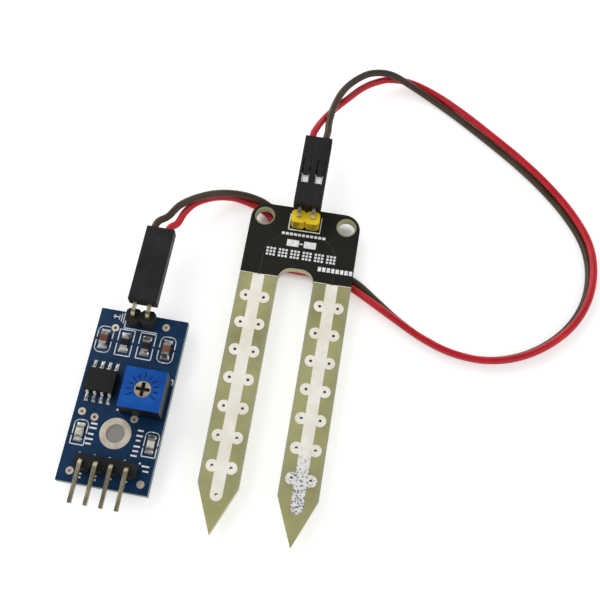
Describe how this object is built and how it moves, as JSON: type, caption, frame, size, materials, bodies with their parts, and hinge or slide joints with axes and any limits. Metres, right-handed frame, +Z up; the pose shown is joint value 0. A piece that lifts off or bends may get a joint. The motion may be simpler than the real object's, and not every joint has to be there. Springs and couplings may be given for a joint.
{
  "type": "soil moisture sensor",
  "caption": "Forked soil moisture probe with tinned electrodes, joined by a two-wire plug-in cable to a small comparator board with a trimmer and a pin header.",
  "frame": {"origin": "on the surface that the sensor lies on, under the middle of the box round the two boards", "axes": "+Z up off the boards' faces, +Y along the probe from its tips to its head, +X from the comparator board to the probe"},
  "size_m": [0.0864, 0.0925, 0.008],
  "materials": {
    "glass_epoxy": "bare cut glass-epoxy laminate, slightly translucent",
    "black_mask": "thin black solder mask, satin",
    "tin_plating": "dull tin plating",
    "solder": "solder, soft shine",
    "pin_metal": "tinned square wire",
    "socket_metal": "tinned spring metal",
    "yellow_plastic": "moulded nylon",
    "black_plastic": "moulded nylon",
    "red_insulation": "soft vinyl, slight gloss",
    "brown_insulation": "soft vinyl, slight gloss",
    "blue_board": "blue solder mask over glass-epoxy laminate",
    "chip_plastic": "moulded epoxy",
    "capacitor_ceramic": "fired ceramic",
    "resistor_glaze": "black glaze",
    "led_white": "white moulded carrier",
    "led_lens": "clear epoxy",
    "blue_plastic": "moulded plastic",
    "cream_plastic": "sealing resin",
    "carbon_film": "printed resistive film",
    "rotor_metal": "plated, worn matt",
    "spring_bronze": "thin spring sheet"
  },
  "bodies": {
    "probe": {"probe_board": "glass_epoxy", "probe_mask_front": "black_mask", "probe_mask_back": "black_mask", "electrode_left": "tin_plating", "electrode_right": "tin_plating", "probe_header_block": "yellow_plastic", "probe_pin_left": "pin_metal", "probe_pin_right": "pin_metal", "probe_solder_joints": "solder"},
    "cable": {"probe_plug_housing": "black_plastic", "probe_plug_terminal_red": "socket_metal", "probe_plug_terminal_brown": "socket_metal", "wire_red": "red_insulation", "wire_brown": "brown_insulation", "module_plug_housing": "black_plastic", "module_plug_terminal_red": "socket_metal", "module_plug_terminal_brown": "socket_metal"},
    "comparator_module": {"module_board": "blue_board", "mounting_hole_plating": "tin_plating", "via_platings": "tin_plating", "input_header_block": "black_plastic", "input_pin_left": "pin_metal", "input_pin_right": "pin_metal", "output_header_block": "black_plastic", "output_pin_supply": "pin_metal", "output_pin_ground": "pin_metal", "output_pin_digital": "pin_metal", "output_pin_analogue": "pin_metal", "module_solder_joints": "solder", "comparator_body": "chip_plastic", "comparator_leads": "tin_plating", "supply_capacitor": "capacitor_ceramic", "led_resistor": "resistor_glaze", "pull_up_resistor": "resistor_glaze", "signal_capacitor": "capacitor_ceramic", "chip_end_caps": "solder", "power_led_base": "led_white", "power_led_lens": "led_lens", "output_led_base": "led_white", "output_led_lens": "led_lens", "trimmer_case": "blue_plastic", "trimmer_base": "cream_plastic", "trimmer_track": "carbon_film", "trimmer_leads": "tin_plating"},
    "trimmer_turning_part": {"trimmer_rotor": "rotor_metal", "trimmer_wiper": "spring_bronze"}
  },
  "joints": [
    {"name": "probe_plug_pull", "type": "slide", "parent": "probe", "child": "cable", "axis": [0, 1, 0], "range_m": [0, 0.0054]},
    {"name": "module_plug_pull", "type": "slide", "parent": "cable", "child": "comparator_module", "axis": [-0.0175, -0.9998, 0], "range_m": [0, 0.0049]},
    {"name": "trimmer_turn", "type": "hinge", "parent": "comparator_module", "child": "trimmer_turning_part", "pos_m": [-0.0098, -0.01153, 0.0071], "axis": [0, 0, 1], "range_deg": [-120, 120]}
  ]
}
